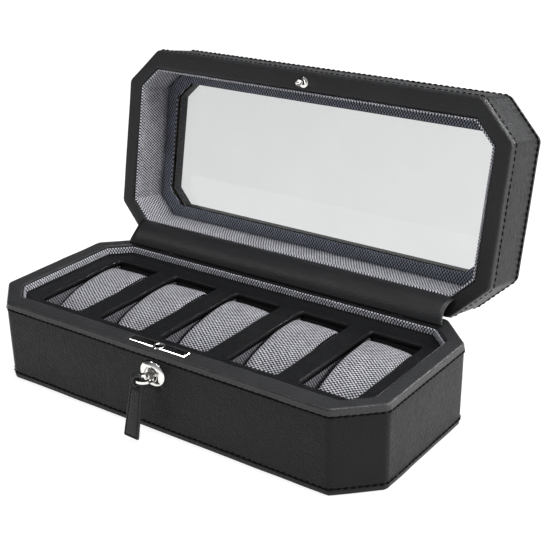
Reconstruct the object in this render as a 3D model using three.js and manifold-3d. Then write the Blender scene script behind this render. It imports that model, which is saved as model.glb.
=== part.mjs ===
// Five-slot watch box: an elongated octagon of leather-covered boards with a glazed, hinged lid.
// Millimetres, +Z up. The origin is the middle of the underside; X runs along the box and -Y is the front.
import * as THREE from "three";
import { mergeVertices } from "three/addons/utils/BufferGeometryUtils.js";
import Module from "manifold-3d";

const wasm = await Module();
wasm.setup();

// ---------------------------------------------------------------- driving dimensions
const LENGTH = 330; // along X
const DEPTH = 150.5; // along Y
const CORNER_CUT = 26.4; // leg of the 45 degree corner
const CORNER_RADIUS = 6; // softness of the leather at each plan corner
const BASE_HEIGHT = 62.5;
const LID_HEIGHT = 48.5;
const LID_GAP = 0.6; // between the two rims when the lid is shut
const LID_OPEN = THREE.MathUtils.degToRad(101.3);

const SIDE_RIM = 12; // width of the rim along the short sides
const FRONT_RIM = 14.25; // width of the rim along the front and rear
const WELL_CUT = 15.5; // corner leg of the rim's inner edge
const LEATHER = 1.2;
const CLEAR = 0.2; // working gap between nested pieces
const SEAM = 5.3; // distance of the cap seams from a rim or top edge
const CAP_TUCK = 14.5; // how far the rim cap turns down inside

const UNDERSIDE_PAD = 1;
const PAD_INSET = 2.5; // the pad's edge from the outer face
const SIDE_FOOT = 0.6; // the side leather's lower edge above the ground
const FLOOR_BOARD = 6;
const FLOOR_PAD = 2;
const LINING = 1.8;
const LINING_DROP = 0.6; // the lining's top edge below the rim

const SLOTS = 5;
const SLOT_PITCH = 58.3;
const SLOT_WIDTH = 40.5;
const SLOT_FRONT = -44.5;
const SLOT_REAR = 43.5;
const SLOT_RADIUS = 3;
const TRAY_TOP = 54.3;
const TRAY_BOARD = 4;
const WELL_BOARD = 3;

const CUSHION_WIDTH = 37.6;
const CUSHION_FOOT = 0.4; // the cushion's foot above the floor pad
const CUSHION_EDGE = 4; // how far the rounding of each end reaches in
const CUSHION_PULL = 2.5; // how far the outline shrinks there
// side view of a cushion as [y, z]: up the steep rear, over the crown and down the long slope
const CUSHION_REAR_FOOT = 30;
const CUSHION_FRONT_FOOT = -30;
const CUSHION_BACK = [
  [35, 20],
  [36.5, 36],
  [34, 49],
  [25, 53.2],
  [8, 52.6],
  [-8, 49.5],
  [-24, 44.4],
  [-35, 37.5],
  [-40.5, 27],
  [-37, 14],
];

const WINDOW = { x: 142.2, y: 49.8, cut: 12.2 };
const WINDOW_TRIM = 1;
const WINDOW_LEVEL = 33.5; // depth of the fabric border inside the lid
const BORDER_BOARD = 2.2;
const GLASS = 3;

const HINGE_X = 95;
const HINGE_HALF = 15; // half the hinge's length
const KNUCKLE_HALF = 4.8;
const KNUCKLE_GAP = 0.4;
const BARREL_RADIUS = 2;
const PIN_RADIUS = 1;
const PIN_PLAY = 0.3;
const LEAF = 0.9;
const LEAF_SINK = 0.1; // the leaf's face below the rim's

const GUSSET = 0.9; // thickness of the leather strip over the hinges
const GUSSET_SAG = 1.6; // the middle of the strip hangs nearer the pivot
const GUSSET_START = THREE.MathUtils.degToRad(3); // from each rim to the strip's edge

const LOCK_Y = -67.2; // middle of the lock in the front rim
const LOCK_Z = 45.5; // height of the keyhole
const PLATE_LENGTH = 48;
const PLATE_WIDTH = 6.8;
const PLATE = 1.1;
const CASE_WALL = 0.6;
const CASE = { halfX: 23, halfY: 3.6, bottom: 37.6, top: 61.1 };
const MORTISE_ROOM = 0.3; // round the case and the plug in the front board
const EYELET_RADIUS = 4.2;
const EYELET_HOLE = 2.9;
const EYELET_LIP = 0.4; // how far its lip stands above the plate
const BOSS_RADIUS = 4.6; // the plate widens round its eyelet
const STUD_REACH = 8.5; // from the lid's rim to the tip of the ball
const STUD_FLANGE = 4;
const STUD_FLANGE_THICK = 0.9;
const STUD_NECK = 1.4;
// the stud's ball as [radius, distance from its tip]
const STUD_BALL = [
  [0, 0],
  [1.4, 0.35],
  [2.25, 1.4],
  [2.4, 2.4],
  [2.1, 3.5],
  [STUD_NECK, 4.3],
];
const STUD_SHANK = 1.5;
const STUD_SHANK_LENGTH = 7;
const SEAT = 0.05; // clearance under a fitting that lies on leather
const ESCUTCHEON_RADIUS = 10.6;
// the dome of the escutcheon as [radius, height above the leather], from its rim to the plug
const ESCUTCHEON_DOME = [
  [ESCUTCHEON_RADIUS, 0.7],
  [9.2, 1.5],
  [7.2, 2.1],
];
const ESCUTCHEON_HEIGHT = 2.4;
const PLUG_RADIUS = 4.9;
const PLUG_ROOM = 0.3;
const PLUG_PROUD = 1.95; // the plug's face in front of the leather
const CAM_THICK = 1.2;
const CAM_REACH = 6;
const CAM_WIDTH = 2.4;
const CAM_TAIL = 2.5;
// the bolt: a web behind the front wall of the case, a riser, and a hook plate that grips the stud's neck
const WEB_LEFT = -8;
const BOLT_RIGHT = 16;
const RISER_LEFT = 11;
const HOOK_LEFT = 4.2;
const WEB_BOTTOM = LOCK_Z + 2.8;
const WEB_TOP = 54; // below the stud's ball
const HOOK = [59.6, 60.8]; // the hook plate's two faces, at the height of the stud's neck
const HOOK_SLOT = [3, 10.6]; // from its open end to its closed end
const HOOK_SLOT_HALF = 1.75;
const NOTCH_HALF = 3; // half the width of the notch that the cam finger turns in
const NOTCH_TOP = LOCK_Z + 7;

const BOW_RADIUS = 6.6;
const BOW_HOLE = 3.8;
const BOW_Y = -84;
const KEY_THICK = 1.8;
const KEY_TIP_Y = -72.5;
const BLADE_HALF = 3.2;
const KEY_PLAY = 0.3; // round the blade in the plug
const STRAP = { out: 3.4, up: 3, eyeOut: 2.3, eyeUp: 1.9, eyeDown: 2 }; // the loop and the eye through it
const LOOP_WIDTH = 4.2;
const LOOP_DROP = 4.6; // from the bow down to the tab
const LOOP_ANGLE = THREE.MathUtils.degToRad(225); // where the strap hangs on the bow
const TAB_GAP = 0.4; // from the strap to the tab
const TAB_LENGTH = 37;
const TAB_TOP_WIDTH = 10.5;
const TAB_FOOT_WIDTH = 13;
const TAB_THICK = 1.8;
const TAB_LEAN_X = THREE.MathUtils.degToRad(2);
const TAB_LEAN_Y = THREE.MathUtils.degToRad(11.5);

// ---------------------------------------------------------------- sizes that follow
const OUTER = { x: LENGTH / 2, y: DEPTH / 2, cut: CORNER_CUT };
const WELL = { x: OUTER.x - SIDE_RIM, y: OUTER.y - FRONT_RIM, cut: WELL_CUT };
const RIM_BOARD_TOP = BASE_HEIGHT - LEATHER - CLEAR;
const BOARD_BOTTOM = UNDERSIDE_PAD + CLEAR;
const FLOOR_TOP = BOARD_BOTTOM + FLOOR_BOARD;
const PAD_TOP = FLOOR_TOP + CLEAR + FLOOR_PAD;
const TRAY_BOTTOM = TRAY_TOP - TRAY_BOARD;
const SHUT_RIM = BASE_HEIGHT + LID_GAP; // height of the lid's rim when shut
const SHUT_TOP = SHUT_RIM + LID_HEIGHT;
const PIVOT = { y: OUTER.y, z: BASE_HEIGHT + LID_GAP / 2 };
const PLATE_TOP = BASE_HEIGHT + 0.05;
const GLASS_BOTTOM = SHUT_RIM + WINDOW_LEVEL + BORDER_BOARD + CLEAR;
const TOP_FRAME_BOTTOM = GLASS_BOTTOM + GLASS + CLEAR;

// ---------------------------------------------------------------- materials
const finish = (color, roughness, metalness = 0) =>
  new THREE.MeshStandardMaterial({ color, roughness, metalness });
const leather = () => finish(0x26272a, 0.55);
const weave = () => finish(0x85858c, 0.9);
const board = () => finish(0x9a7b55, 0.8);
const nickel = () => finish(0xd8d6d2, 0.12, 1);
const steel = () => finish(0x9c9c9c, 0.35, 1);
const felt = () => finish(0x1c1c1e, 0.95);
const clearGlass = () =>
  new THREE.MeshStandardMaterial({ color: 0xe4e8e8, roughness: 0.03, transparent: true, opacity: 0.3 });

// ---------------------------------------------------------------- outlines
/** The octagon moved inwards by a distance, or outwards when it is negative. */
const inset = (o, d) => ({ x: o.x - d, y: o.y - d, cut: o.cut - d * (2 - Math.SQRT2) });

const octagonCorners = ({ x, y, cut }) => [
  [cut - x, -y],
  [x - cut, -y],
  [x, cut - y],
  [x, y - cut],
  [x - cut, y],
  [cut - x, y],
  [-x, y - cut],
  [-x, cut - y],
];

const rectangleCorners = (x0, x1, y0, y1) => [
  [x0, y0],
  [x1, y0],
  [x1, y1],
  [x0, y1],
];

/** A polygon as a path; each corner is rounded with a curve that starts `round` before it. */
function outline(points, round = 0, Path = THREE.Shape) {
  const path = new Path();
  points.forEach(([x, y], i) => {
    if (!round) {
      if (i) path.lineTo(x, y);
      else path.moveTo(x, y);
      return;
    }
    const corner = new THREE.Vector2(x, y);
    const before = new THREE.Vector2(...points.at(i - 1));
    const after = new THREE.Vector2(...points[(i + 1) % points.length]);
    const start = before.sub(corner).setLength(round).add(corner);
    const end = after.sub(corner).setLength(round).add(corner);
    if (i) path.lineTo(start.x, start.y);
    else path.moveTo(start.x, start.y);
    path.quadraticCurveTo(x, y, end.x, end.y);
  });
  path.closePath();
  return path;
}

const octagon = (o, round = 0) => outline(octagonCorners(o), round);
const octagonHole = (o, round = 0) => outline(octagonCorners(o), round, THREE.Path);

function withHoles(shape, ...holes) {
  shape.holes.push(...holes);
  return shape;
}

// ---------------------------------------------------------------- solids
function plate(shape, bottom, top, curveSegments = 3) {
  const options = { depth: top - bottom, bevelEnabled: false, curveSegments };
  return new THREE.ExtrudeGeometry(shape, options).translate(0, 0, bottom);
}

const ring = (outer, inner, bottom, top, round = 0) =>
  plate(withHoles(octagon(outer, round), octagonHole(inner)), bottom, top);

function block(x0, x1, y0, y1, z0, z1) {
  const box = new THREE.BoxGeometry(x1 - x0, y1 - y0, z1 - z0);
  return box.translate((x0 + x1) / 2, (y0 + y1) / 2, (z0 + z1) / 2);
}

/** A cylinder along an axis between two places on that axis; u and v place it across the axis. */
function rod(axis, radius, from, to, u, v, sides = 24) {
  const bar = new THREE.CylinderGeometry(radius, radius, to - from, sides);
  bar.translate(0, (from + to) / 2, 0);
  if (axis === "y") return bar.translate(u, 0, v);
  if (axis === "x") return bar.rotateZ(-Math.PI / 2).translate(0, u, v);
  return bar.rotateX(Math.PI / 2).translate(u, v, 0);
}

/** An outline drawn across Y and Z, extruded along X. */
function alongX(shape, from, to, options = {}) {
  const settings = { depth: to - from, bevelEnabled: false, curveSegments: 4, ...options };
  const basis = new THREE.Matrix4().makeBasis(
    new THREE.Vector3(0, 1, 0),
    new THREE.Vector3(0, 0, 1),
    new THREE.Vector3(1, 0, 0),
  );
  return new THREE.ExtrudeGeometry(shape, settings).applyMatrix4(basis).translate(from, 0, 0);
}

// ---------------------------------------------------------------- booleans
function solidOf(geometry) {
  const bare = new THREE.BufferGeometry();
  bare.setAttribute("position", geometry.getAttribute("position"));
  if (geometry.index) bare.setIndex(geometry.index);
  const merged = mergeVertices(bare, 1e-4);
  return new wasm.Manifold(
    new wasm.Mesh({
      numProp: 3,
      vertProperties: merged.getAttribute("position").array,
      triVerts: new Uint32Array(merged.index.array),
    }),
  );
}

function geometryOf(solid) {
  const mesh = solid.getMesh();
  const geometry = new THREE.BufferGeometry();
  geometry.setAttribute("position", new THREE.BufferAttribute(mesh.vertProperties, 3));
  geometry.setIndex(new THREE.BufferAttribute(mesh.triVerts, 1));
  geometry.computeVertexNormals();
  return geometry;
}

const combine = (how, first, rest) =>
  geometryOf(rest.reduce((solid, other) => solid[how](solidOf(other)), solidOf(first)));
const join = (first, ...rest) => combine("add", first, rest);
const cut = (first, ...rest) => combine("subtract", first, rest);

// ---------------------------------------------------------------- scene graph
const box = new THREE.Group();
const lidPivot = new THREE.Group();
const lid = new THREE.Group();
lidPivot.position.set(0, PIVOT.y, PIVOT.z);
lidPivot.rotation.x = -LID_OPEN;
lid.position.set(0, -PIVOT.y, -PIVOT.z);
box.add(lidPivot);
lidPivot.add(lid);

function part(group, name, geometry, material) {
  const mesh = new THREE.Mesh(geometry, material);
  mesh.name = name;
  group.add(mesh);
  return mesh;
}

// ---------------------------------------------------------------- shared cuts
const hingeCentres = [-HINGE_X, HINGE_X];
const BARREL_ROOM = BARREL_RADIUS + 0.4;
const HINGE_ROOM = HINGE_HALF + 0.5;

/** Room for the hinge barrels along the rear edge of both rims. */
const barrelRoom = () =>
  hingeCentres.map((x) => rod("x", BARREL_ROOM, x - HINGE_ROOM, x + HINGE_ROOM, PIVOT.y, PIVOT.z));

/** Room for the hinge leaves in a rim between two heights. */
const leafRoom = (z0, z1) =>
  hingeCentres.map((x) => block(x - HINGE_ROOM, x + HINGE_ROOM, WELL.y + 0.5, OUTER.y + 1, z0, z1));

/** Eight mitred wall boards between two octagons, by side name. */
function wallBoards(outer, inner, bottom, top) {
  const sides = ["front", "corner_fr", "right", "corner_rr", "rear", "corner_rl", "left", "corner_fl"];
  const out = octagonCorners(outer);
  const inn = octagonCorners(inner);
  const pull = CLEAR / 2;
  return sides.map((side, i) => {
    const next = (i + 1) % sides.length;
    const along = new THREE.Vector2(out[next][0] - out[i][0], out[next][1] - out[i][1]).setLength(pull);
    const corners = [
      [out[i][0] + along.x, out[i][1] + along.y],
      [out[next][0] - along.x, out[next][1] - along.y],
      [inn[next][0] - along.x, inn[next][1] - along.y],
      [inn[i][0] + along.x, inn[i][1] + along.y],
    ];
    return [side, plate(outline(corners), bottom, top)];
  });
}

/** A leather cap: an inverted channel over the top of a wall, from its outer seam to inside the well. */
function rimCap(rim, direction, cuts) {
  const span = (a, b) => [rim - direction * a, rim - direction * b].sort((p, q) => p - q);
  const outerFlange = ring(OUTER, inset(OUTER, LEATHER), ...span(0, SEAM), CORNER_RADIUS);
  const crown = ring(OUTER, WELL, ...span(0, LEATHER), CORNER_RADIUS);
  const innerFlange = ring(inset(WELL, -LEATHER), WELL, ...span(0, CAP_TUCK));
  return cut(join(outerFlange, crown, innerFlange), ...cuts);
}

/** Room for the stud's shank in the lid's front board. */
function shankRoom() {
  const end = SHUT_RIM + STUD_SHANK_LENGTH + 1;
  return rod("z", STUD_SHANK + CLEAR, SHUT_RIM, end, 0, LOCK_Y, 16);
}

const BOARD_OUTER = inset(OUTER, LEATHER + CLEAR);
const BOARD_INNER = inset(WELL, -LEATHER - CLEAR);

// ---------------------------------------------------------------- base: carcass and covering
const keyway = () => rod("y", PLUG_RADIUS + PLUG_ROOM, -OUTER.y - 1, LOCK_Y, 0, LOCK_Z);

/** Room in the front board for the lock's case and for the plug. */
function lockMortise() {
  const halfX = CASE.halfX + MORTISE_ROOM;
  const halfY = CASE.halfY + MORTISE_ROOM;
  const pocket = [LOCK_Y - halfY, LOCK_Y + halfY, CASE.bottom - MORTISE_ROOM, BASE_HEIGHT];
  return [block(-halfX, halfX, ...pocket), keyway()];
}

function buildBase() {
  for (const [side, geometry] of wallBoards(BOARD_OUTER, BOARD_INNER, BOARD_BOTTOM, RIM_BOARD_TOP)) {
    let shaped = geometry;
    if (side === "front") shaped = cut(geometry, ...lockMortise());
    if (side === "rear") shaped = cut(geometry, ...barrelRoom());
    part(box, `base_board_${side}`, shaped, board());
  }
  const floor = plate(octagon(inset(BOARD_INNER, CLEAR)), BOARD_BOTTOM, FLOOR_TOP);
  part(box, "base_floor_board", floor, board());
  part(box, "underside_pad", plate(octagon(inset(OUTER, PAD_INSET)), 0, UNDERSIDE_PAD), felt());

  const band = ring(OUTER, inset(OUTER, LEATHER), SIDE_FOOT, BASE_HEIGHT - SEAM - CLEAR, CORNER_RADIUS);
  part(box, "base_side_leather", cut(band, keyway()), leather());

  const through = [BASE_HEIGHT - LEATHER - 1, BASE_HEIGHT + 1];
  const halfX = PLATE_LENGTH / 2 + CLEAR;
  const halfY = PLATE_WIDTH / 2 + CLEAR;
  const plateRoom = block(-halfX, halfX, LOCK_Y - halfY, LOCK_Y + halfY, ...through);
  const eyeletRoom = rod("z", BOSS_RADIUS + CLEAR, ...through, 0, LOCK_Y);
  const leaves = leafRoom(BASE_HEIGHT - LEATHER - SEAT, BASE_HEIGHT + 1);
  const cuts = [plateRoom, eyeletRoom, ...leaves, ...barrelRoom()];
  part(box, "base_rim_leather", rimCap(BASE_HEIGHT, 1, cuts), leather());
}

// ---------------------------------------------------------------- base: lining, tray and wells
const TRAY_OUTLINE = inset(WELL, CLEAR + LINING + 0.3);
const slotCentres = Array.from({ length: SLOTS }, (_, i) => (i - (SLOTS - 1) / 2) * SLOT_PITCH);

function buildWells() {
  const liningTop = BASE_HEIGHT - LINING_DROP;
  const lining = ring(inset(WELL, CLEAR), inset(WELL, CLEAR + LINING), FLOOR_TOP + CLEAR, liningTop);
  part(box, "base_wall_lining", lining, weave());
  part(box, "well_floor_pad", plate(octagon(TRAY_OUTLINE), FLOOR_TOP + CLEAR, PAD_TOP), weave());

  const half = SLOT_WIDTH / 2;
  const holes = slotCentres.map((x) =>
    outline(rectangleCorners(x - half, x + half, SLOT_FRONT, SLOT_REAR), SLOT_RADIUS, THREE.Path),
  );
  const tray = plate(withHoles(octagon(TRAY_OUTLINE), ...holes), TRAY_BOTTOM, TRAY_TOP, 2);
  part(box, "tray_frame", tray, leather());

  const bottom = PAD_TOP + CLEAR;
  const top = TRAY_BOTTOM - CLEAR;
  const end = slotCentres.at(-1) + half;
  const reach = end + WELL_BOARD;
  const front = block(-reach, reach, SLOT_FRONT - WELL_BOARD, SLOT_FRONT, bottom, top);
  part(box, "well_front_board", front, weave());
  const rear = block(-reach, reach, SLOT_REAR, SLOT_REAR + WELL_BOARD, bottom, top);
  part(box, "well_rear_board", rear, weave());
  const inside = [SLOT_FRONT + CLEAR, SLOT_REAR - CLEAR, bottom, top];
  part(box, "well_left_board", block(-reach, -end, ...inside), weave());
  part(box, "well_right_board", block(end, reach, ...inside), weave());
  for (let i = 0; i < SLOTS - 1; i += 1) {
    const from = slotCentres[i] + half;
    const to = slotCentres[i + 1] - half;
    part(box, `well_divider_${i + 1}`, block(from, to, ...inside), weave());
  }
}

// ---------------------------------------------------------------- cushions
/** Side view of a watch cushion: flat foot, high rounded crown at the rear, long slope to the front. */
function cushionProfile() {
  const foot = PAD_TOP + CUSHION_FOOT;
  const points = [[CUSHION_REAR_FOOT, foot], ...CUSHION_BACK, [CUSHION_FRONT_FOOT, foot]];
  const curve = new THREE.CatmullRomCurve3(
    points.map(([y, z]) => new THREE.Vector3(y, z, 0)),
    false,
    "centripetal",
  );
  const smooth = curve.getPoints(26).map((p) => new THREE.Vector2(p.x, Math.max(p.y, foot)));
  return new THREE.Shape(smooth);
}

function buildCushions() {
  const bevel = {
    bevelEnabled: true,
    bevelThickness: CUSHION_EDGE,
    bevelSize: CUSHION_PULL,
    bevelOffset: -CUSHION_PULL,
    bevelSegments: 2,
  };
  slotCentres.forEach((x, i) => {
    const from = x - CUSHION_WIDTH / 2 + CUSHION_EDGE;
    const to = x + CUSHION_WIDTH / 2 - CUSHION_EDGE;
    part(box, `cushion_${i + 1}`, alongX(cushionProfile(), from, to, bevel), weave());
  });
}

// ---------------------------------------------------------------- lock
function buildLock() {
  const { halfX, halfY, bottom, top } = CASE;
  const shell = block(-halfX, halfX, LOCK_Y - halfY, LOCK_Y + halfY, bottom, top);
  const hollow = block(
    CASE_WALL - halfX,
    halfX - CASE_WALL,
    LOCK_Y - halfY + CASE_WALL,
    LOCK_Y + halfY - CASE_WALL,
    bottom + CASE_WALL,
    top + 1,
  );
  part(box, "lock_case", cut(shell, hollow, keyway()), steel());

  const thickness = [PLATE_TOP - PLATE, PLATE_TOP];
  const halfWidth = PLATE_WIDTH / 2;
  const across = [LOCK_Y - halfWidth, LOCK_Y + halfWidth];
  const faceBlank = block(-PLATE_LENGTH / 2, PLATE_LENGTH / 2, ...across, ...thickness);
  const boss = rod("z", BOSS_RADIUS, ...thickness, 0, LOCK_Y);
  const lip = rod("z", EYELET_RADIUS, PLATE_TOP - PLATE / 2, PLATE_TOP + EYELET_LIP, 0, LOCK_Y);
  const bore = rod("z", EYELET_HOLE, PLATE_TOP - 2 * PLATE, PLATE_TOP + PLATE, 0, LOCK_Y);
  part(box, "lock_face_plate", cut(join(faceBlank, boss, lip), bore), nickel());

  const mouth = PLUG_RADIUS + PLUG_ROOM;
  const dome = [
    [mouth, SEAT],
    [ESCUTCHEON_RADIUS, SEAT],
    ...ESCUTCHEON_DOME,
    [mouth, ESCUTCHEON_HEIGHT],
    [mouth, SEAT],
  ].map(([r, h]) => new THREE.Vector2(r, h));
  const escutcheon = new THREE.LatheGeometry(dome, 32).rotateX(Math.PI);
  part(box, "escutcheon", escutcheon.translate(0, -OUTER.y, LOCK_Z), nickel());
}

/** The plug with its cam finger, and the bolt that the finger drives along X. */
function buildLockWorks() {
  const faceY = -OUTER.y - PLUG_PROUD;
  const caseY = LOCK_Y - CASE.halfY + CASE_WALL; // inner face of the case's front wall
  const camY = [caseY + 0.5, caseY + 0.5 + CAM_THICK];
  const works = new THREE.Group();
  works.position.z = LOCK_Z;
  box.add(works);
  const barrel = rod("y", PLUG_RADIUS, faceY, caseY + SEAT, 0, 0);
  const tail = rod("y", CAM_TAIL, caseY, camY[1], 0, 0, 16);
  const finger = block(-CAM_WIDTH / 2, CAM_WIDTH / 2, ...camY, 0, CAM_REACH);
  const slotX = BLADE_HALF + KEY_PLAY;
  const slotZ = KEY_THICK / 2 + KEY_PLAY;
  const keySlot = block(-slotX, slotX, faceY - 1, KEY_TIP_Y + 1, -slotZ, slotZ);
  const plug = cut(join(barrel, tail, finger.rotateY(Math.PI / 4)), keySlot);
  part(works, "lock_plug", plug, nickel());

  const webPlate = block(WEB_LEFT, BOLT_RIGHT, ...camY, WEB_BOTTOM, WEB_TOP);
  const riser = block(RISER_LEFT, BOLT_RIGHT, ...camY, WEB_BOTTOM, HOOK[1]);
  const hookPlate = block(HOOK_LEFT, BOLT_RIGHT, camY[0], LOCK_Y + CASE.halfY - 1, ...HOOK);
  const notchX = (CAM_REACH - 1) * Math.SQRT1_2;
  const notchEnds = [notchX - NOTCH_HALF, notchX + NOTCH_HALF];
  const notch = block(...notchEnds, camY[0] - 1, camY[1] + 1, LOCK_Z, NOTCH_TOP);
  const grip = [LOCK_Y - HOOK_SLOT_HALF, LOCK_Y + HOOK_SLOT_HALF];
  const slot = block(...HOOK_SLOT, ...grip, HOOK[0] - 1, HOOK[1] + 1);
  part(box, "lock_bolt", cut(join(webPlate, riser, hookPlate), notch, slot), steel());
}

// ---------------------------------------------------------------- key and its leather tab
function buildKey() {
  const key = new THREE.Group();
  key.position.z = LOCK_Z - KEY_THICK / 2;
  box.add(key);
  const bow = new THREE.Shape().absarc(0, BOW_Y, BOW_RADIUS, 0, Math.PI * 2);
  const hole = new THREE.Path().absarc(0, BOW_Y, BOW_HOLE, 0, Math.PI * 2, true);
  const bowPlate = plate(withHoles(bow, hole), 0, KEY_THICK, 24);
  const blade = block(-BLADE_HALF, BLADE_HALF, BOW_Y + BOW_HOLE + 1, KEY_TIP_Y, 0, KEY_THICK);
  part(key, "key", join(bowPlate, blade), nickel());

  // the strap closes round the bow's bar where it hangs
  const middle = (BOW_RADIUS + BOW_HOLE) / 2;
  const hang = new THREE.Group();
  hang.position.set(middle * Math.cos(LOOP_ANGLE), BOW_Y + middle * Math.sin(LOOP_ANGLE), LOCK_Z);
  box.add(hang);
  const strap = block(-STRAP.out, STRAP.out, -LOOP_WIDTH / 2, LOOP_WIDTH / 2, -LOOP_DROP, STRAP.up);
  const eye = block(-STRAP.eyeOut, STRAP.eyeOut, -LOOP_WIDTH, LOOP_WIDTH, -STRAP.eyeDown, STRAP.eyeUp);
  const loop = part(hang, "key_loop", cut(strap, eye), leather());
  loop.rotation.z = LOOP_ANGLE;

  const top = TAB_TOP_WIDTH / 2;
  const foot = TAB_FOOT_WIDTH / 2;
  const face = outline([
    [-foot, -TAB_LENGTH],
    [foot, -TAB_LENGTH],
    [top, 0],
    [-top, 0],
  ]);
  const panel = plate(face, -TAB_THICK / 2, TAB_THICK / 2).rotateX(Math.PI / 2);
  const tab = part(hang, "key_tab", panel, leather());
  tab.position.z = -LOOP_DROP - TAB_GAP;
  tab.rotation.set(-TAB_LEAN_Y, TAB_LEAN_X, 0);
}

// ---------------------------------------------------------------- hinges and gusset
function buildHinges() {
  hingeCentres.forEach((x, i) => {
    const side = i ? "right" : "left";
    const flat = [WELL.y + 0.8, OUTER.y - BARREL_ROOM - 0.3];
    const past = HINGE_HALF + 1;
    const bore = rod("x", PIN_RADIUS + PIN_PLAY, x - past, x + past, PIVOT.y, PIVOT.z, 16);
    const knuckle = (from, to) => rod("x", BARREL_RADIUS, from, to, PIVOT.y, PIVOT.z, 20);

    const baseZ = [BASE_HEIGHT - LEAF_SINK - LEAF, BASE_HEIGHT - LEAF_SINK];
    const neck = [flat[1] - LEAF, PIVOT.y];
    const ends = [
      [x - HINGE_HALF, x - KNUCKLE_HALF - KNUCKLE_GAP],
      [x + KNUCKLE_HALF + KNUCKLE_GAP, x + HINGE_HALF],
    ];
    const baseLeaf = join(
      block(x - HINGE_HALF, x + HINGE_HALF, ...flat, ...baseZ),
      ...ends.flatMap(([from, to]) => [block(from, to, ...neck, ...baseZ), knuckle(from, to)]),
    );
    part(box, `hinge_base_leaf_${side}`, cut(baseLeaf, bore), steel());

    const lidZ = [SHUT_RIM + LEAF_SINK, SHUT_RIM + LEAF_SINK + LEAF];
    const middle = [x - KNUCKLE_HALF, x + KNUCKLE_HALF];
    const lidLeaf = join(
      block(x - HINGE_HALF, x + HINGE_HALF, ...flat, ...lidZ),
      block(...middle, ...neck, ...lidZ),
      knuckle(...middle),
    );
    part(lid, `hinge_lid_leaf_${side}`, cut(lidLeaf, bore), steel());

    const pin = rod("x", PIN_RADIUS, x - HINGE_HALF, x + HINGE_HALF, PIVOT.y, PIVOT.z, 16);
    part(box, `hinge_pin_${side}`, pin, steel());
  });
}

/** The leather strip over the hinges: an arc about the pivot from the base rim to the open lid's rim. */
function buildGusset() {
  const steps = 12;
  const reach = OUTER.y - WELL.y - CLEAR; // distance of the rims' inner edges from the pivot
  const to = LID_OPEN - GUSSET_START;
  const arc = (thickness) =>
    Array.from({ length: steps + 1 }, (_, i) => {
      const turn = GUSSET_START + ((to - GUSSET_START) * i) / steps;
      const radius = reach - GUSSET_SAG * Math.sin((Math.PI * i) / steps) + thickness;
      return [PIVOT.y - radius * Math.cos(turn), PIVOT.z + radius * Math.sin(turn)];
    });
  const section = outline([...arc(0), ...arc(GUSSET).reverse()]);
  const half = WELL.x - WELL_CUT - 0.5;
  part(box, "hinge_gusset", alongX(section, -half, half), leather());
}

// ---------------------------------------------------------------- lid
function buildLid() {
  const skinTop = SHUT_TOP - LEATHER;
  const heights = [SHUT_RIM + LEATHER + CLEAR, skinTop - CLEAR];
  for (const [side, geometry] of wallBoards(BOARD_OUTER, BOARD_INNER, ...heights)) {
    let shaped = geometry;
    if (side === "front") shaped = cut(geometry, shankRoom());
    if (side === "rear") shaped = cut(geometry, ...barrelRoom());
    part(lid, `lid_board_${side}`, shaped, board());
  }
  const trimOuter = inset(WINDOW, -WINDOW_TRIM);
  const frameHole = octagonHole(inset(trimOuter, -CLEAR));
  const frame = withHoles(octagon(inset(BOARD_INNER, CLEAR)), frameHole);
  part(lid, "lid_top_frame", plate(frame, TOP_FRAME_BOTTOM, skinTop - CLEAR), board());

  const bandBottom = SHUT_RIM + SEAM + CLEAR;
  const bandTop = SHUT_TOP - SEAM - CLEAR;
  const band = ring(OUTER, inset(OUTER, LEATHER), bandBottom, bandTop, CORNER_RADIUS);
  part(lid, "lid_side_leather", band, leather());
  const studSeat = rod("z", STUD_FLANGE + CLEAR, SHUT_RIM - 1, SHUT_RIM + LEATHER + SEAT, 0, LOCK_Y);
  const leaves = leafRoom(SHUT_RIM - 1, SHUT_RIM + LEATHER + SEAT);
  part(lid, "lid_rim_leather", rimCap(SHUT_RIM, -1, [studSeat, ...leaves, ...barrelRoom()]), leather());

  const flange = ring(OUTER, inset(OUTER, LEATHER), SHUT_TOP - SEAM, SHUT_TOP, CORNER_RADIUS);
  const crown = ring(OUTER, inset(trimOuter, -CLEAR), skinTop, SHUT_TOP, CORNER_RADIUS);
  part(lid, "lid_top_leather", join(flange, crown), leather());
  part(lid, "lid_window_trim", ring(trimOuter, WINDOW, TOP_FRAME_BOTTOM, SHUT_TOP), leather());

  const liningTop = SHUT_RIM + WINDOW_LEVEL - CLEAR;
  const lining = ring(inset(WELL, CLEAR), inset(WELL, CLEAR + LINING), SHUT_RIM + LINING_DROP, liningTop);
  part(lid, "lid_wall_lining", lining, weave());
  const borderBottom = SHUT_RIM + WINDOW_LEVEL;
  const border = ring(inset(WELL, CLEAR), WINDOW, borderBottom, borderBottom + BORDER_BOARD);
  part(lid, "lid_window_border", border, weave());
  const pane = octagon(inset(WELL, 1));
  part(lid, "lid_window_glass", plate(pane, GLASS_BOTTOM, GLASS_BOTTOM + GLASS), clearGlass());

  const stud = [
    ...STUD_BALL.map(([r, h]) => [r, h - STUD_REACH]),
    [STUD_NECK, SEAT],
    [STUD_FLANGE, SEAT],
    [STUD_FLANGE, SEAT + STUD_FLANGE_THICK],
    [STUD_SHANK, SEAT + STUD_FLANGE_THICK],
    [STUD_SHANK, STUD_SHANK_LENGTH],
    [0, STUD_SHANK_LENGTH],
  ].map(([r, h]) => new THREE.Vector2(r, h));
  const turned = new THREE.LatheGeometry(stud, 20).rotateX(Math.PI / 2);
  part(lid, "catch_stud", turned.translate(0, LOCK_Y, SHUT_RIM), nickel());
}

buildBase();
buildWells();
buildCushions();
buildLock();
buildLockWorks();
buildKey();
buildHinges();
buildGusset();
buildLid();

export default box;
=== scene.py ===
import math
import random

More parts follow.
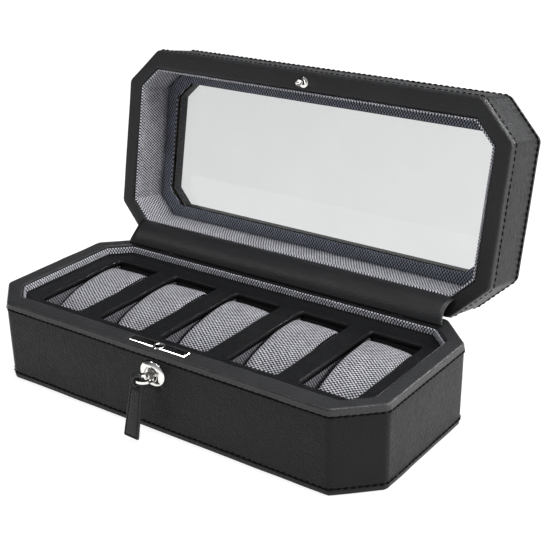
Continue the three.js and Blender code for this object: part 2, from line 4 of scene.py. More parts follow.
import bmesh
import bpy
import numpy as np
from mathutils import Matrix, Vector, noise
from mathutils.geometry import tessellate_polygon


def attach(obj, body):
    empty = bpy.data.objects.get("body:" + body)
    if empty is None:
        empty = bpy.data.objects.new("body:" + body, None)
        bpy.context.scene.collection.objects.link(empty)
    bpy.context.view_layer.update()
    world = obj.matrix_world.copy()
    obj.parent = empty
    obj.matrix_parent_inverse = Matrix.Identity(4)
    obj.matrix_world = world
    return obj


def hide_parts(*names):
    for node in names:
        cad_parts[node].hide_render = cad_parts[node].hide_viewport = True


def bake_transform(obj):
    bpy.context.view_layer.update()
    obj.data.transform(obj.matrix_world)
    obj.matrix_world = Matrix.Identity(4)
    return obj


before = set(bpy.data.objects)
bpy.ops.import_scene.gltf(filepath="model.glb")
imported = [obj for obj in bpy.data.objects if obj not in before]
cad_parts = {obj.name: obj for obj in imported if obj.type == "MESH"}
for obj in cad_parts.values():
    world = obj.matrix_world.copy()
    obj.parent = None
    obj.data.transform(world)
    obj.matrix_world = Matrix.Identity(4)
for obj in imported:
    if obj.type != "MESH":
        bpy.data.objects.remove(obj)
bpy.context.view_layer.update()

# Shapes are worked out in millimetres, and make_mesh turns them into metres.
# The camera, the lights and the floor are placed in metres.
# The lid's pieces are made as if it were shut and then turned open about the hinge.
MM = 0.001

# ------------ sizes shared with the frame
# An octagon is (half length, half depth, leg of the corner).
OUTER = (165.0, 75.25, 26.4)
WELL = (153.0, 61.0, 15.5)
WINDOW = (142.2, 49.8, 12.2)
CORNER_ROUND = 6.5
BASE_RIM = 62.5
LID_RIM = 63.1
LID_TOP = 111.6
SEAM = 5.3  # from a rim down to the seam of its cap
FOOT_SEAM = 5.9
SKIN = 1.2  # leather and its glue
CAP_TUCK = 14.5  # how far a cap reaches into the well
COLLAR_BOTTOM = 7.4
COLLAR_TOP = 60.7
LID_LINING_TOP = LID_RIM + 33.3
BORDER_LEVEL = LID_RIM + 33.5
FLOOR_PAD_TOP = 9.4
TRAY_TOP = 54.9
TRAY_BOTTOM = 50.3
TRAY_LIP = 1.3  # the edge turned up against the lining
SLOT_CENTRES = [58.3 * (i - 2) for i in range(5)]
SLOT_HALF = 20.25
SLOT_ENDS = (-44.5, 43.5)
SLOT_ROUND = 3.0
SLOT_ROLL = 2.0  # the leather rolls over the slot's edge by this radius
LOCK_Y = -67.2
LOCK_Z = 45.5
PLUG_ROOM = 5.3
HANG = Vector((-3.677, -87.677, LOCK_Z))  # where the strap hangs on the key's bow
HINGE_X = 95.0
HINGE_Y = 75.25
HINGE_Z = 62.8
PIVOT = Vector((0.0, HINGE_Y * MM, HINGE_Z * MM))
LID_OPEN = math.radians(101.3)
LID_TURN = Matrix.Translation(PIVOT) @ Matrix.Rotation(-LID_OPEN, 4, "X") @ Matrix.Translation(-PIVOT)


def new_object(name, data):
    obj = bpy.data.objects.new(name, data)
    bpy.context.scene.collection.objects.link(obj)
    return obj


# ------------ camera
def place_camera():
    data = bpy.data.cameras.new("camera")
    data.sensor_width = 36
    data.lens = 75.366
    data.shift_x = 0.03776
    data.shift_y = 0.09383
    camera = new_object("camera", data)
    camera.location = (0.45803, -0.56938, 0.40140)
    turn = Matrix.Rotation(math.radians(37.127), 4, "Z")
    tilt = Matrix.Rotation(math.radians(90 - 25.627), 4, "X")
    roll = Matrix.Rotation(math.radians(-1.482), 4, "Z")
    camera.rotation_euler = (turn @ tilt @ roll).to_euler()
    bpy.context.scene.camera = camera
    bpy.context.scene.view_settings.view_transform = "Standard"


# ------------ material building
def map_range(tree, value, low, high, low_out, high_out):
    node = tree.nodes.new("ShaderNodeMapRange")
    settings = (low, high, low_out, high_out)
    for socket, number in zip(("From Min", "From Max", "To Min", "To Max"), settings):
        node.inputs[socket].default_value = number
    tree.links.new(value, node.inputs["Value"])
    return node.outputs["Result"]


class Nodes:
    """A material's node tree with short calls for the nodes that repeat."""

    def __init__(self, name):
        self.material = bpy.data.materials.new(name)
        self.material.use_nodes = True
        self.tree = self.material.node_tree
        self.shader = self.tree.nodes["Principled BSDF"]

    def add(self, kind, **settings):
        node = self.tree.nodes.new(kind)
        for key, value in settings.items():
            setattr(node, key, value)
        return node

    def link(self, output, target):
        self.tree.links.new(output, target)

    def set(self, socket, value):
        self.shader.inputs[socket].default_value = value

    def feed(self, socket, output):
        self.link(output, self.shader.inputs[socket])

    def place(self):
        return self.add("ShaderNodeTexCoord").outputs["Object"]

    def math(self, how, *values):
        node = self.add("ShaderNodeMath", operation=how)
        for socket, value in zip(node.inputs, values):
            if isinstance(value, (int, float)):
                socket.default_value = value
            else:
                self.link(value, socket)
        return node.outputs[0]

    def noise(self, vector, scale, detail=3.0, rough=0.5):
        node = self.add("ShaderNodeTexNoise")
        node.inputs["Scale"].default_value = scale
        node.inputs["Detail"].default_value = detail
        node.inputs["Roughness"].default_value = rough
        self.link(vector, node.inputs["Vector"])
        return node.outputs[0]

    def cells(self, vector, scale):
        node = self.add("ShaderNodeTexVoronoi")
        node.inputs["Scale"].default_value = scale
        self.link(vector, node.inputs["Vector"])
        return node.outputs["Distance"]

    def spread(self, value, *settings):
        return map_range(self.tree, value, *settings)

    def mix(self, factor, first, second):
        node = self.add("ShaderNodeMix", data_type="RGBA")
        self.link(factor, node.inputs["Factor"])
        for socket, value in ((node.inputs[6], first), (node.inputs[7], second)):
            if isinstance(value, tuple):
                socket.default_value = (*value, 1.0)
            else:
                self.link(value, socket)
        return node.outputs[2]

    def bump(self, height, distance, strength=1.0, normal=None):
        node = self.add("ShaderNodeBump")
        node.inputs["Distance"].default_value = distance
        node.inputs["Strength"].default_value = strength
        self.link(height, node.inputs["Height"])
        if normal is not None:
            self.link(normal, node.inputs["Normal"])
        return node.outputs["Normal"]


def leather_material(name, tone, rough=(0.34, 0.5), grain=0.00026, specular=0.2):
    """Pebbled black leather: small cells, a slow undulation, rubbed lighter here and there."""
    nodes = Nodes(name)
    place = nodes.place()
    slow = nodes.noise(place, 45, 2)
    fine = nodes.noise(place, 900, 2)
    worn = nodes.noise(place, 230, 5, 0.65)
    cells = nodes.cells(place, 850)
    dark = tuple(0.8 * c for c in tone)
    light = tuple(1.9 * c for c in tone)
    shade = nodes.mix(nodes.spread(slow, 0.3, 0.7, 0, 1), dark, tone)
    rubbed = nodes.spread(worn, 0.6, 0.85, 0.0, 0.5)
    nodes.feed("Base Color", nodes.mix(rubbed, shade, light))
    nodes.feed("Roughness", nodes.spread(worn, 0.3, 0.7, *rough))
    undulation = nodes.bump(nodes.noise(place, 60, 1), 0.0006, 0.5)
    height = nodes.math("ADD", cells, nodes.math("MULTIPLY", fine, 0.5))
    nodes.feed("Normal", nodes.bump(height, grain, 1.0, undulation))
    nodes.set("Specular IOR Level", specular)
    return nodes.material


def weave_material(name, u, v, light, across=2.35, along=3.6, source="uv"):
    """Basket weave: light floats on dark ground, staggered from row to row."""
    nodes = Nodes(name)
    place = nodes.place()
    split = nodes.add("ShaderNodeSeparateXYZ")
    if source == "uv":
        uv = nodes.add("ShaderNodeUVMap", uv_map="weave").outputs[0]
        nodes.link(uv, split.inputs[0])
        unit = 1.0
    else:
        nodes.link(place, split.inputs[0])
        unit = 1 / MM
    axes = {"x": split.outputs[0], "y": split.outputs[1], "z": split.outputs[2]}

    def wave(names, period):
        total = axes[names[0]]
        if len(names) > 1:
            total = nodes.math("ADD", total, axes[names[1]])
        return nodes.math("SINE", nodes.math("MULTIPLY", total, math.tau * unit / period))

    product = nodes.math("MULTIPLY", wave(u, across), wave(v, along))
    patch = nodes.noise(place, 500, 2)
    uneven = nodes.math("MULTIPLY_ADD", nodes.math("SUBTRACT", patch, 0.5), 0.7, product)
    floats = nodes.spread(uneven, -0.08, 0.22, 0, 1)
    slow = nodes.spread(nodes.noise(place, 70, 2), 0.3, 0.7, 0.0, 1.0)
    yarn = nodes.mix(slow, tuple(0.82 * c for c in light), light)
    nodes.feed("Base Color", nodes.mix(floats, DARK_YARN, yarn))
    nodes.feed("Roughness", nodes.spread(patch, 0.3, 0.7, 0.6, 0.85))
    nodes.feed("Normal", nodes.bump(floats, 0.0003, 0.8))
    return nodes.material


def metal_material(name, tone, rough):
    """Polished or brushed metal with faint streaks."""
    nodes = Nodes(name)
    nodes.set("Metallic", 1.0)
    streak = nodes.noise(nodes.place(), 700, 4, 0.6)
    nodes.feed("Base Color", nodes.mix(streak, tuple(0.93 * c for c in tone), tone))
    nodes.feed("Roughness", nodes.spread(streak, 0.3, 0.7, *rough))
    nodes.feed("Normal", nodes.bump(streak, 0.00001, 0.3))
    return nodes.material


def plain_material(name, dark, light, scale, rough, depth, specular=0.4):
    """A matt surface mottled between two tones: thread, felt or bare board."""
    nodes = Nodes(name)
    grain = nodes.noise(nodes.place(), scale, 4, 0.6)
    nodes.feed("Base Color", nodes.mix(nodes.spread(grain, 0.3, 0.7, 0, 1), dark, light))
    nodes.feed("Roughness", nodes.spread(grain, 0.3, 0.7, *rough))
    nodes.feed("Normal", nodes.bump(grain, depth, 0.6))
    nodes.set("Specular IOR Level", specular)
    return nodes.material


def glass_material():
    """Clear glass with a slight grey tint and faint smears."""
    nodes = Nodes("glass")
    smear = nodes.spread(nodes.noise(nodes.place(), 25, 3), 0.3, 0.7, 0.0, 1.0)
    tint = nodes.mix(smear, (0.595, 0.6, 0.6), (0.61, 0.615, 0.615))
    nodes.feed("Base Color", tint)
    nodes.set("Transmission Weight", 1.0)
    nodes.set("IOR", 1.45)
    nodes.set("Roughness", 0.0)
    return nodes.material


LIGHT_YARN = (0.62, 0.62, 0.67)
DARK_YARN = (0.006, 0.006, 0.010)
leather = leather_material("leather", (0.0036, 0.0038, 0.0044))
# The rims' copies of the black leather are lighter than the sides' leather: painted light on the lid's rim
# and on the base's rim.
rim_leather = leather_material("rim_leather", (0.015, 0.0152, 0.0162), (0.32, 0.46), 0.0002, 0.32)
base_rim_leather = leather_material("base_rim_leather", (0.025, 0.0252, 0.0265), (0.3, 0.44), 0.0002, 0.42)
tray_leather = leather_material("tray_leather", (0.007, 0.0072, 0.008), (0.34, 0.48), 0.00012)
# The hinge strip's leather is lighter than the sides' as painted light, a soft highlight over the strip.
gusset_leather_painted_light = leather_material("gusset_leather_painted_light", (0.013, 0.0132, 0.0142), (0.33, 0.46), 0.00014, 0.34)
# The strap's and the tab's leather is lighter than the sides' as painted light on parts that the lamps reach
# weakly.
tab_leather_painted_light = leather_material("tab_leather_painted_light", (0.026, 0.0265, 0.0275), (0.28, 0.42))
# The lid's wall lining is a lighter copy of the grey weave, as painted light on its lit walls.
wall_weave_painted_light = weave_material("wall_weave_painted_light", "x", "y", (0.74, 0.74, 0.8))
# The base collar's copy of the weave is set a little lighter than the cushions' as painted light.
collar_weave = weave_material("collar_weave", "x", "y", (0.64, 0.64, 0.7))
# The window border's weave is dark and bluish as painted shade under the lid's walls.
border_weave_painted_shade = weave_material("border_weave_painted_shade", "x", "y", (0.25, 0.27, 0.33))
cushion_weave = weave_material("cushion_weave", "y", "x", LIGHT_YARN, 2.4, 3.5)
# The wells' boards get a darkened copy of the weave as painted shade down in the slots.
board_weave_painted_shade = weave_material("board_weave_painted_shade", "xy", "z", (0.2, 0.2, 0.22), source="object")
floor_weave = weave_material("floor_weave", "x", "y", LIGHT_YARN, source="object")
nickel = metal_material("nickel", (0.9, 0.88, 0.85), (0.05, 0.12))
# The dark nickel is a painted dark reflection on the plate's polished face.
nickel_painted_dark_reflection = metal_material("nickel_painted_dark_reflection", (0.1, 0.1, 0.1), (0.08, 0.16))
steel = metal_material("steel", (0.6, 0.6, 0.6), (0.25, 0.4))
thread = plain_material("thread", (0.0008, 0.0008, 0.0009), (0.003, 0.003, 0.0033), 1500,
                        (0.7, 0.9), 0.0001, 0.1)
felt = plain_material("felt", (0.006, 0.006, 0.007), (0.02, 0.02, 0.022), 900, (0.9, 1.0), 0.0003)
board = plain_material("board", (0.25, 0.16, 0.09), (0.38, 0.26, 0.16), 300, (0.7, 0.85), 0.0001)
glass = glass_material()


# ------------ mesh building
def make_mesh(name, points, faces, uvs=None, weld=False, smooth=True):
    """A smooth mesh with its faces turned outwards; weld joins points that coincide."""
    mesh = bpy.data.meshes.new(name)
    mesh.from_pydata([tuple(p) for p in np.asarray(points, float) * MM], [], faces)
    if uvs is not None:
        layer = mesh.uv_layers.new(name="weave")
        layer.data.foreach_set("uv", np.asarray(uvs, np.float32).ravel())
    mesh.polygons.foreach_set("use_smooth", [smooth] * len(mesh.polygons))
    work = bmesh.new()
    work.from_mesh(mesh)
    if weld:
        bmesh.ops.remove_doubles(work, verts=work.verts, dist=1e-7)
    bmesh.ops.recalc_face_normals(work, faces=work.faces)
    work.to_mesh(mesh)
    work.free()
    return new_object(name, mesh)


def add_loop(points, loop):
    """Adds a loop of points to a list and gives their numbers."""
    numbers = list(range(len(points), len(points) + len(loop)))
    points += loop
    return numbers


def at_height(outline, z):
    return [(x, y, z) for x, y in outline]


def bridge(a, b):
    """Four-sided faces between two closed loops of point numbers."""
    count = len(a)
    return [(a[k], a[(k + 1) % count], b[(k + 1) % count], b[k]) for k in range(count)]


def fill_flat(points, loops):
    """Triangles over a flat face: the first loop is its edge and the others are holes."""
    shape = [[Vector(points[i]) for i in loop] for loop in loops]
    flat = [i for loop in loops for i in loop]
    return [tuple(flat[i] for i in triangle) for triangle in tessellate_polygon(shape)]


def closed_run(loop):
    """A loop closed on its first point, and how far round each of its points is."""
    closed = np.vstack([loop, loop[:1]])
    return closed, np.concatenate([[0], np.cumsum(np.linalg.norm(np.diff(closed, axis=0), axis=1))])


def walk(closed, run, at, step):
    """The place at a distance round a loop, and the direction from there over a short step."""
    stops = (at, min(at + step, run[-1]))
    here, ahead = (np.array([np.interp(stop, run, closed[:, k]) for k in (0, 1)]) for stop in stops)
    return here, (ahead - here) / (np.linalg.norm(ahead - here) + 1e-9)


def apply_modifiers(obj):
    """The mesh takes the shape that its modifiers give it."""
    graph = bpy.context.evaluated_depsgraph_get()
    mesh = bpy.data.meshes.new_from_object(obj.evaluated_get(graph))
    obj.modifiers.clear()
    obj.data = mesh


def weighted(obj):
    """Flat faces keep their own shading beside a rounded edge."""
    modifier = obj.modifiers.new("weighted", "WEIGHTED_NORMAL")
    modifier.weight = 80
    modifier.keep_sharp = True
    return obj


def settle(obj, body, material, slot, *nodes):
    """Gives a finished mesh its material and its body, and hides the CAD nodes it stands for."""
    obj.data.materials.append(material)
    if body == "lid":
        obj.data.transform(LID_TURN)
    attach(obj, body)
    if nodes:
        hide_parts(*nodes)
    return obj


def inset(octagon, d):
    """The octagon with each side moved inwards by d."""
    x, y, cut = octagon
    return (x - d, y - d, cut - d * (2 - math.sqrt(2)))


def between(a, b, t):
    """The octagon a share t of the way from a to b."""
    return tuple(p + (q - p) * t for p, q in zip(a, b))


ARC_STEPS = 6
SIDE_STEPS = (30, 4, 12, 4, 30, 4, 12, 4)  # front, then round by the right


def octagon_loop(octagon, radius):
    """A rounded octagon as points, with the same count for every size."""
    x, y, cut = octagon
    quarter = [(x - cut, -y), (x, cut - y), (x, y - cut), (x - cut, y)]
    corners = quarter + [(-px, -py) for px, py in quarter]
    arcs = []
    for i, corner in enumerate(corners):
        start = math.radians(-90 + 45 * i)
        middle = start + math.radians(22.5)
        reach = radius / math.cos(math.radians(22.5))
        cx = corner[0] - reach * math.cos(middle)
        cy = corner[1] - reach * math.sin(middle)
        turns = [start + math.radians(45) * k / ARC_STEPS for k in range(ARC_STEPS + 1)]
        arcs.append([(cx + radius * math.cos(t), cy + radius * math.sin(t)) for t in turns])
    loop = []
    for i, arc in enumerate(arcs):
        start = np.array(arcs[i - 1][-1])
        end = np.array(arc[0])
        length = np.linalg.norm(end - start)
        steps = SIDE_STEPS[i]
        stations = [1.0 / length] + [k / steps for k in range(1, steps)] + [1 - 1.0 / length]
        loop += [tuple(start + (end - start) * s) for s in stations]
        loop += arc
    return np.array(loop)


def ring_mesh(name, profile, plan_uv=False, lumps=0.0, seed=0):
    """A closed ring: each entry of the profile is (octagon, corner radius, height)."""
    loops = [(octagon_loop(o, r), z) for o, r, z in profile]
    count = len(loops[0][0])
    points = np.array([(p[0], p[1], z) for loop, z in loops for p in loop])
    if lumps:
        shift = Vector((seed * 7.1, seed * 3.3, 0))
        for p in points:
            wobble = noise.noise_vector(Vector(p) * 0.045 + shift)
            p += np.array(wobble) * lumps
    run = closed_run(loops[0][0])[1]
    rows = [0.0]
    for (a, za), (b, zb) in zip(loops, loops[1:] + loops[:1]):
        rows.append(rows[-1] + math.hypot(np.linalg.norm(b[0] - a[0]), zb - za))
    faces = []
    uvs = []
    for i in range(len(loops)):
        k = (i + 1) % len(loops)
        for j in range(count):
            n = (j + 1) % count
            faces.append((i * count + j, i * count + n, k * count + n, k * count + j))
            if plan_uv:
                uvs += [tuple(points[q][:2]) for q in faces[-1]]
            else:
                a, b = run[j], run[j + 1]
                uvs += [(a, rows[i]), (b, rows[i]), (b, rows[i + 1]), (a, rows[i + 1])]
    return make_mesh(name, points, faces, uvs)


def arc_profile(centre, radius, start, end, steps):
    """Points (inset, height) round a centre; the angle 0 points outwards and 90 up."""
    turns = [math.radians(start + (end - start) * k / steps) for k in range(steps + 1)]
    return [(centre[0] - radius * math.cos(t), centre[1] + radius * math.sin(t)) for t in turns]


# ------------ leather covering
LIP = 0.35  # the cap's flange stands this proud of the wall
RIM_ROUND = 1.9
FOLD_ROUND = 1.5
GROOVE = 0.55
FOOT_ROUND = 2.2
STITCH_PROUD = {"base": 0.2, "lid": 0.25}


def around(octagon, outline):
    """Wraps an outline of (inset, height) round an octagon, with rounder corners further out."""
    return [(inset(octagon, a), max(CORNER_ROUND - a, 2), z) for a, z in outline]


def cap_outside(straight):
    """The outer side of a cap as (inset, depth below its rim), from its flange up over the edge."""
    outside = [(0.9, SEAM - 0.1), (0.2, SEAM), (-LIP, SEAM - 0.5), (-LIP, SEAM - 1.3), (0.0, SEAM - 2.4)]
    outside += [(0.0, RIM_ROUND + straight)]
    return outside + [(a, -b) for a, b in arc_profile((RIM_ROUND, -RIM_ROUND), RIM_ROUND, 0, 90, 5)]


def turned_edge(z, up):
    """The end of a band at height z, turned in under a cap; up is 1 for a top end and -1 for a bottom one."""
    return [(a, z - up * drop) for a, drop in ((0.0, 1.6), (0.05, 0.9), (0.5, 0.2), (SKIN, 0.0))]


def cap_profile(rim, direction):
    """The leather cap over a rim, from its outer seam over the top and down inside the well."""
    profile = around(OUTER, [(a, rim - direction * b) for a, b in cap_outside(0.4)])
    near, far = inset(OUTER, RIM_ROUND), inset(WELL, -FOLD_ROUND)
    for t in (0.12, 0.5, 0.88):
        crown = 0.12 * math.sin(math.pi * t)
        radius = CORNER_ROUND - RIM_ROUND + (2.5 - CORNER_ROUND + RIM_ROUND) * t
        profile.append((between(near, far, t), radius, rim + direction * crown))
    fold = [(FOLD_ROUND - FOLD_ROUND * math.sin(a), FOLD_ROUND - FOLD_ROUND * math.cos(a))
            for a in [math.radians(22.5 * k) for k in range(5)]]
    profile += [(inset(WELL, -a), 2.2, rim - direction * b) for a, b in fold]
    under = [(WELL, 0, 2.0, CAP_TUCK), (WELL, -SKIN, 2.0, CAP_TUCK), (WELL, -SKIN, 2.0, 3.0)]
    under += [(OUTER, SKIN + 0.6, 4.0, 3.0), (OUTER, SKIN, 5.0, SEAM - 0.3)]
    return profile + [(inset(octagon, a), radius, rim - direction * b) for octagon, a, radius, b in under]


def side_profile(bottom, top):
    """The leather band round the base's walls, with a groove for the row of stitches at its foot."""
    low, high = FOOT_SEAM - 0.5, FOOT_SEAM + 0.5
    outside = arc_profile((FOOT_ROUND, bottom + FOOT_ROUND), FOOT_ROUND, -80, 0, 4)
    outside += [(-0.1, low - 1.2), (-0.3, low - 0.5), (-0.1, low)]
    outside += [(GROOVE, FOOT_SEAM - 0.2), (GROOVE, FOOT_SEAM + 0.2), (-0.1, high)]
    outside += [(-0.2, high + 0.5), (0.0, high + 1.5)]
    middle = (outside[-1][1] + top) / 2
    outside += [(0.0, middle)] + turned_edge(top, 1) + [(SKIN, bottom + 1.0)]
    return around(OUTER, outside)


def stitches(name, octagon, radius, height, seed, pitch=4.5, length=3.3, thick=0.7):
    """A row of threads round the box, each with its ends sunk into the leather."""
    closed, run = closed_run(octagon_loop(octagon, radius))
    total = round(run[-1] / pitch)
    draw = random.Random(seed)
    points = []
    faces = []
    for i in range(total):
        at = run[-1] * (i + 0.5) / total + draw.uniform(-0.15, 0.15)
        place, along = walk(closed, run, at, 0.4)
        outwards = np.array([along[1], -along[0], 0])
        slant = math.radians(draw.uniform(4, 10))
        run_dir = np.array([along[0] * math.cos(slant), along[1] * math.cos(slant), math.sin(slant)])
        side = np.cross(run_dir, outwards)
        middle = np.array([place[0], place[1], height + draw.uniform(-0.06, 0.06)])
        long = length + draw.uniform(-0.2, 0.2)
        add_stitch(points, faces, middle, run_dir, outwards, side, long, thick)
    return make_mesh(name, points, faces)


def add_stitch(points, faces, middle, along, up, side, length, thick):
    """One thread: a short bar whose ends dip under the surface."""
    # station along the bar, share of its thickness, height above the leather
    sections = [(-0.5, 0.35, -0.6), (-0.38, 0.85, -0.1), (0.0, 1.0, 0.12)]
    sections += [(0.38, 0.85, -0.1), (0.5, 0.35, -0.6)]
    sides = 6
    start = len(points)
    for station, swell, lift in sections:
        for k in range(sides):
            turn = math.tau * k / sides
            rise = lift * thick + swell * thick * math.sin(turn)
            reach = swell * thick * math.cos(turn)
            points.append(middle + along * station * length + up * rise + side * reach)
    for i in range(len(sections) - 1):
        for k in range(sides):
            n = (k + 1) % sides
            a = start + i * sides
            faces.append((a + k, a + n, a + sides + n, a + sides + k))
    faces.append(tuple(start + k for k in range(sides)))
    faces.append(tuple(start + (len(sections) - 1) * sides + k for k in range(sides)))


def rod_matrix(axis, start, end, u, v):
    """Places a cylinder along an axis between two places on it; u and v place it across the axis."""
    place = Matrix.Translation((u, v, 0))
    if axis == "x":
        place = Matrix.Translation((0, u, v)) @ Matrix.Rotation(math.radians(90), 4, "Y")
    if axis == "y":
        place = Matrix.Translation((u, 0, v)) @ Matrix.Rotation(math.radians(-90), 4, "X")
    return Matrix.Scale(MM, 4) @ place @ Matrix.Translation((0, 0, (start + end) / 2))


def cut_away(obj, rods, blocks=()):
    """Takes rooms out of a closed mesh: rods as (axis, radius, from, to, u, v), blocks as two corners."""
    for axis, radius, start, end, u, v in rods:
        work = bmesh.new()
        bmesh.ops.create_cone(work, cap_ends=True, segments=32, radius1=radius, radius2=radius,
                              depth=end - start, matrix=rod_matrix(axis, start, end, u, v))
        cut_one(obj, work)
    for low, high in blocks:
        low, high = Vector(low) * MM, Vector(high) * MM
        work = bmesh.new()
        matrix = Matrix.Translation((low + high) / 2) @ Matrix.Diagonal((*(high - low), 1))
        bmesh.ops.create_cube(work, size=1, matrix=matrix)
        cut_one(obj, work)


def cut_one(obj, work):
    """Takes one room, given as a bmesh, out of a mesh."""
    mesh = bpy.data.meshes.new("room")
    work.to_mesh(mesh)
    work.free()
    room = new_object("room", mesh)
    cutter = obj.modifiers.new("cut", "BOOLEAN")
    cutter.operation = "DIFFERENCE"
    cutter.object = room
    apply_modifiers(obj)
    bpy.data.objects.remove(room)


def barrel_rods():
    """Room for the hinge barrels along the rear edge of both rims."""
    radius, half_length = 2.4, 15.5
    return [("x", radius, x - half_length, x + half_length, HINGE_Y, HINGE_Z) for x in (-HINGE_X, HINGE_X)]


def stitch_row(name, body, height, seed):
    """A row of stitches round the outside, just proud of the leather."""
    row = stitches(name, inset(OUTER, -STITCH_PROUD[body]), CORNER_ROUND, height, seed + int(height))
    settle(row, body, thread, "leather")


def build_base_covering():
    band = ring_mesh("base_side_skin", side_profile(0.6, BASE_RIM - SEAM - 0.1), lumps=0.28, seed=1)
    cut_away(band, [("y", PLUG_ROOM, -77.5, -72.0, 0.0, LOCK_Z)])
    settle(band, "base", leather, "leather", "base_side_leather")
    cap = ring_mesh("base_rim_skin", cap_profile(BASE_RIM, 1), lumps=0.22, seed=2)
    plate_room = ((-24.15, LOCK_Y - 3.55, 58.4), (24.15, LOCK_Y + 3.55, 66.0))
    cut_away(cap, barrel_rods() + [("z", 4.75, 58.3, 66.1, 0.0, LOCK_Y)], [plate_room])
    settle(cap, "base", base_rim_leather, "leather", "base_rim_leather")
    stitch_row("base_stitches_top", "base", BASE_RIM - SEAM - 0.35, 11)
    stitch_row("base_stitches_foot", "base", FOOT_SEAM, 11)


def build_lid_covering():
    low = LID_RIM + SEAM + 0.1
    high = LID_TOP - SEAM - 0.1
    outside = turned_edge(low, -1)[::-1] + [(0.0, (low + high) / 2)] + turned_edge(high, 1)
    band = ring_mesh("lid_side_skin", around(OUTER, outside), lumps=0.28, seed=3)
    settle(band, "lid", leather, "leather", "lid_side_leather")
    cap = ring_mesh("lid_rim_skin", cap_profile(LID_RIM, -1), lumps=0.22, seed=4)
    cut_away(cap, barrel_rods() + [("z", 4.15, 60.0, 64.3, 0.0, LOCK_Y)])
    settle(cap, "lid", rim_leather, "leather", "lid_rim_leather")
    build_lid_top()
    stitch_row("lid_stitches_rim", "lid", low + 0.25, 31)
    stitch_row("lid_stitches_top", "lid", high - 0.25, 31)


def build_lid_top():
    """The leather frame round the window, from its outer seam to the edge of the glass."""
    top = around(OUTER, [(a, LID_TOP - b) for a, b in cap_outside(0.6)])
    near, far = inset(OUTER, RIM_ROUND), inset(WINDOW, -1.2)
    top += [(between(near, far, t), 4.6 - 3.4 * t, LID_TOP) for t in (0.1, 0.5, 0.9, 1.0)]
    top += [(far, 1.2, LID_TOP - SKIN), (inset(OUTER, SKIN + 0.5), 4.0, LID_TOP - SKIN - 0.4)]
    top += [(inset(OUTER, SKIN), 5.0, LID_TOP - SEAM + 0.3)]
    panel = ring_mesh("lid_top_skin", top, lumps=0.15, seed=5)
    settle(panel, "lid", leather, "leather", "lid_top_leather")


# ------------ woven linings
def lining_profile(low, high, fold_low, fold_high):
    """A woven wall; a folded edge is rounded."""
    face, back = 2.0, 0.3
    half = (face - back) / 2
    middle = (face + back) / 2
    profile = []
    if fold_low:
        turns = [math.radians(180 - 30 * k) for k in range(7)]
        profile += [(middle + half * -math.cos(t), low + half - half * math.sin(t)) for t in turns]
    else:
        profile += [(back, low), (face, low)]
    profile += [(face, low + (high - low) * t) for t in (0.2, 0.5, 0.8)]
    if fold_high:
        turns = [math.radians(30 * k) for k in range(7)]
        profile += [(middle + half * math.cos(t), high - half + half * math.sin(t)) for t in turns]
    else:
        profile += [(face, high), (back, high)]
    return [(inset(WELL, a), 1.6, z) for a, z in profile]


def build_linings():
    profile = lining_profile(COLLAR_BOTTOM, COLLAR_TOP, False, True)
    collar = ring_mesh("base_collar", profile, lumps=0.15, seed=6)
    for vertex in collar.data.vertices:  # its top edge sags a little towards the front right
        x, y, z = vertex.co / MM
        slack = min(1.0, max(0.0, 0.5 - 0.8 * (y / WELL[1] - x / WELL[0])))
        vertex.co.z -= 0.7 * slack * max(0.0, (z - 50) / 12) * MM
    settle(collar, "base", collar_weave, "lining_weave", "base_wall_lining")
    profile = lining_profile(LID_RIM + 0.6, LID_LINING_TOP, True, False)
    walls = ring_mesh("lid_lining", profile, lumps=0.15, seed=7)
    settle(walls, "lid", wall_weave_painted_light, "lining_weave", "lid_wall_lining")
    build_window_border(BORDER_LEVEL)


def build_window_border(level):
    """The flat woven border round the window, rolled over at the glass."""
    profile = [(inset(WELL, 0.3), 1.5, level + 2.1), (inset(WELL, 0.3), 1.5, level)]
    near, far = inset(WELL, 0.3), inset(WINDOW, -1.0)
    profile += [(between(near, far, t), 1.5, level) for t in (0.3, 0.6, 1.0)]
    for k in range(1, 6):
        turn = math.radians(36 * k)
        rise = 1.05 * (1 - math.cos(turn))
        profile.append((inset(WINDOW, -1.0 + math.sin(turn)), 1.2, level + rise))
    border = ring_mesh("lid_border", profile, plan_uv=True, lumps=0.12, seed=8)
    settle(border, "lid", border_weave_painted_shade, "lining_weave", "lid_window_border")


# ------------ tray
def rounded_rectangle(x0, x1, y0, y1, radius, d):
    """A rounded rectangle grown by d, as points counter-clockwise."""
    r = radius + d
    centres = [(x1 - radius, y0 + radius, -90), (x1 - radius, y1 - radius, 0)]
    centres += [(x0 + radius, y1 - radius, 90), (x0 + radius, y0 + radius, 180)]
    loop = []
    for cx, cy, start in centres:
        for k in range(7):
            t = math.radians(start + 15 * k)
            loop.append((cx + r * math.cos(t), cy + r * math.sin(t)))
    return loop


